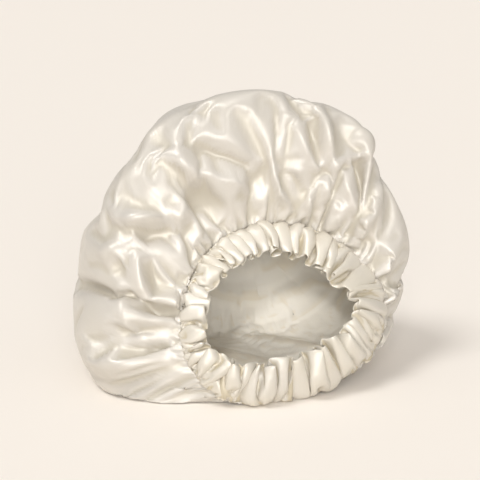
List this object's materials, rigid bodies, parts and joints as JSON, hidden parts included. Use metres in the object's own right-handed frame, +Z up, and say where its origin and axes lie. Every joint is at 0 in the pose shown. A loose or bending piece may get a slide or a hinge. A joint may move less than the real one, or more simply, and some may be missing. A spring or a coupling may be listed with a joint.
{
  "type": "sleep bonnet",
  "caption": "Loose satin sleep bonnet lying on a table, with a gathered bag and a ruffled elastic band round its open mouth.",
  "frame": {"origin": "middle of the bonnet's footprint, on the table it lies on", "axes": "+X to the wearer's side that shows at the right, the mouth faces -Y, +Z up"},
  "size_m": [0.3094, 0.2136, 0.2543],
  "materials": {
    "satin": "glossy satin face",
    "casing_satin": "glossy satin, tightly ruffled over elastic"
  },
  "bodies": {
    "root": {"crown": "satin", "casing": "casing_satin"}
  },
  "joints": []
}
